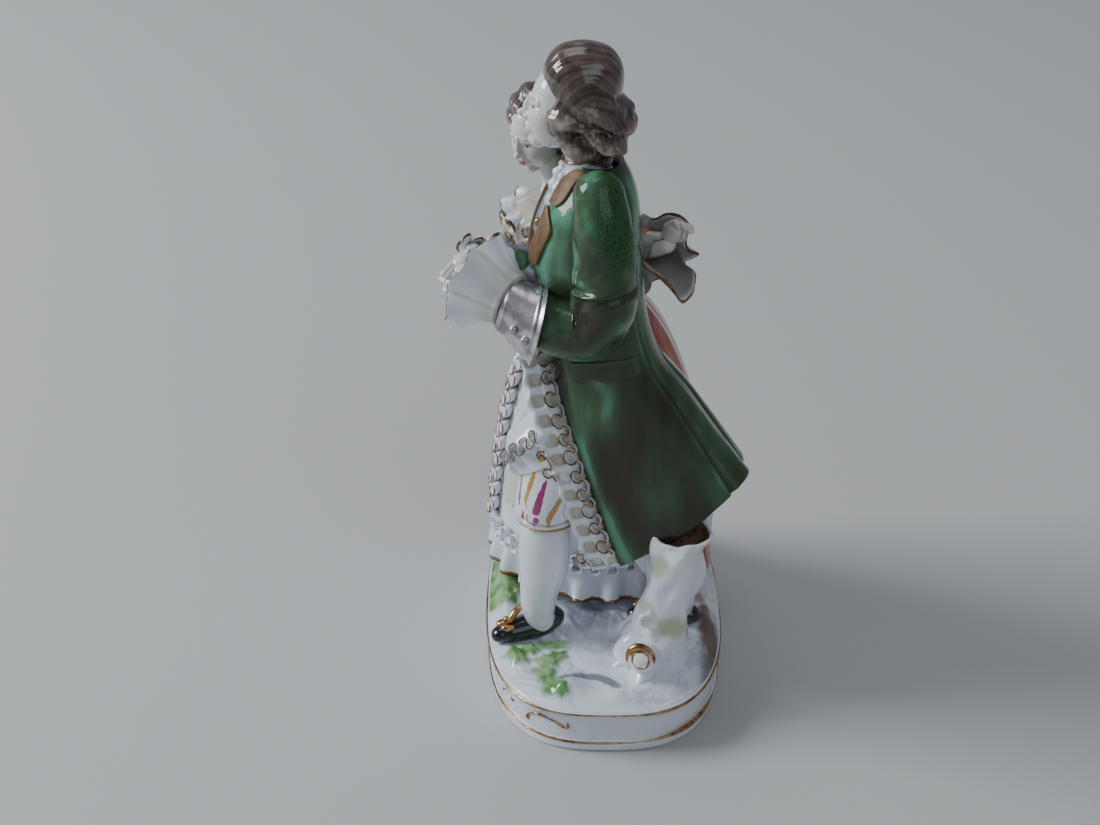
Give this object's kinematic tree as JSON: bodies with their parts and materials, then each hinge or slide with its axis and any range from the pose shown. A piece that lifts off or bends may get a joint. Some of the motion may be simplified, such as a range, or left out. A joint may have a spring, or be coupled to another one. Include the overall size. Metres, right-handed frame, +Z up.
{
  "type": "porcelain figurine",
  "caption": "Courting couple in eighteenth century dress with lace ruffles, in painted glazed porcelain on an oval rocky plinth with a tree stump.",
  "frame": {"origin": "middle of the plinth's underside", "axes": "+Z up; the couple face -Y, the gentleman stands at +X and the lady at -X"},
  "size_m": [0.1101, 0.0825, 0.1888],
  "materials": {
    "white_glaze": "glossy white glaze with faint painted washes",
    "coat_green": "glossy bottle green glaze with brown black brushing",
    "gown_red": "glossy crimson glaze",
    "hair_brown": "glossy umber grey glaze with combed streaks",
    "lustre_gold": "coppery gold lustre",
    "lustre_silver": "silver grey lustre",
    "shoe_black": "glossy black glaze",
    "painted_ground": "white glaze with grey, brown and green washes"
  },
  "bodies": {
    "root": {"courting_couple": "white_glaze"}
  },
  "joints": []
}
